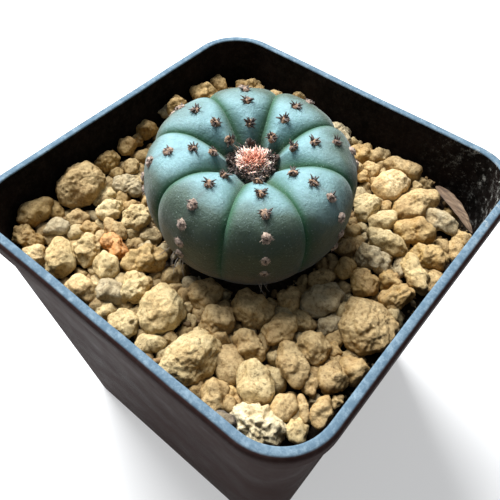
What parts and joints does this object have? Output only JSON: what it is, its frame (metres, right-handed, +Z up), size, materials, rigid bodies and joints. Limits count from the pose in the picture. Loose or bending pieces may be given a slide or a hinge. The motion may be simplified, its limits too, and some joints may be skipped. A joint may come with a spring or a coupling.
{
  "type": "potted round cactus",
  "caption": "Low round ribbed cactus with a woolly crown in a square tapered plastic pot, set in loose porous stones.",
  "frame": {"origin": "middle of the pot's flat underside", "axes": "+Z up; the pot's sides run along X and Y"},
  "size_m": [0.07, 0.07, 0.0751],
  "materials": {
    "pot_plastic": "satin",
    "soil_mix": "matte",
    "cactus_skin": "matte",
    "wool": "matte",
    "husk_wood": "matte",
    "stone_cream": "matte",
    "stone_tan": "matte",
    "stone_ochre": "matte",
    "stone_grey": "matte"
  },
  "bodies": {
    "root": {"pot": "pot_plastic", "cactus_body": "cactus_skin", "crown_wool": "wool", "soil": "soil_mix", "husk": "husk_wood", "stone_01": "stone_ochre", "stone_02": "stone_ochre", "stone_03": "stone_tan", "stone_04": "stone_ochre", "stone_05": "stone_ochre", "stone_06": "stone_ochre", "stone_07": "stone_ochre", "stone_08": "stone_grey", "stone_09": "stone_cream", "stone_10": "stone_cream", "stone_11": "stone_cream", "stone_12": "stone_cream", "stone_13": "stone_cream", "stone_14": "stone_cream", "stone_15": "stone_cream", "stone_16": "stone_cream", "stone_17": "stone_cream", "stone_18": "stone_ochre", "stone_19": "stone_ochre", "stone_20": "stone_cream", "stone_21": "stone_cream", "stone_22": "stone_tan", "stone_23": "stone_tan", "stone_24": "stone_tan", "stone_25": "stone_tan", "stone_26": "stone_cream", "stone_27": "stone_tan", "stone_28": "stone_tan", "stone_29": "stone_tan", "stone_30": "stone_grey", "stone_31": "stone_tan", "stone_32": "stone_ochre", "stone_33": "stone_ochre", "stone_34": "stone_grey", "stone_35": "stone_cream", "stone_36": "stone_tan", "stone_37": "stone_ochre", "stone_38": "stone_cream", "stone_39": "stone_ochre", "stone_40": "stone_cream", "stone_41": "stone_tan", "stone_42": "stone_cream", "stone_43": "stone_tan", "stone_44": "stone_grey", "stone_45": "stone_tan", "stone_46": "stone_ochre", "stone_47": "stone_grey", "stone_48": "stone_cream", "stone_49": "stone_tan", "stone_50": "stone_ochre", "stone_51": "stone_cream", "stone_52": "stone_tan", "stone_53": "stone_grey", "stone_54": "stone_tan", "stone_55": "stone_ochre"}
  },
  "joints": []
}
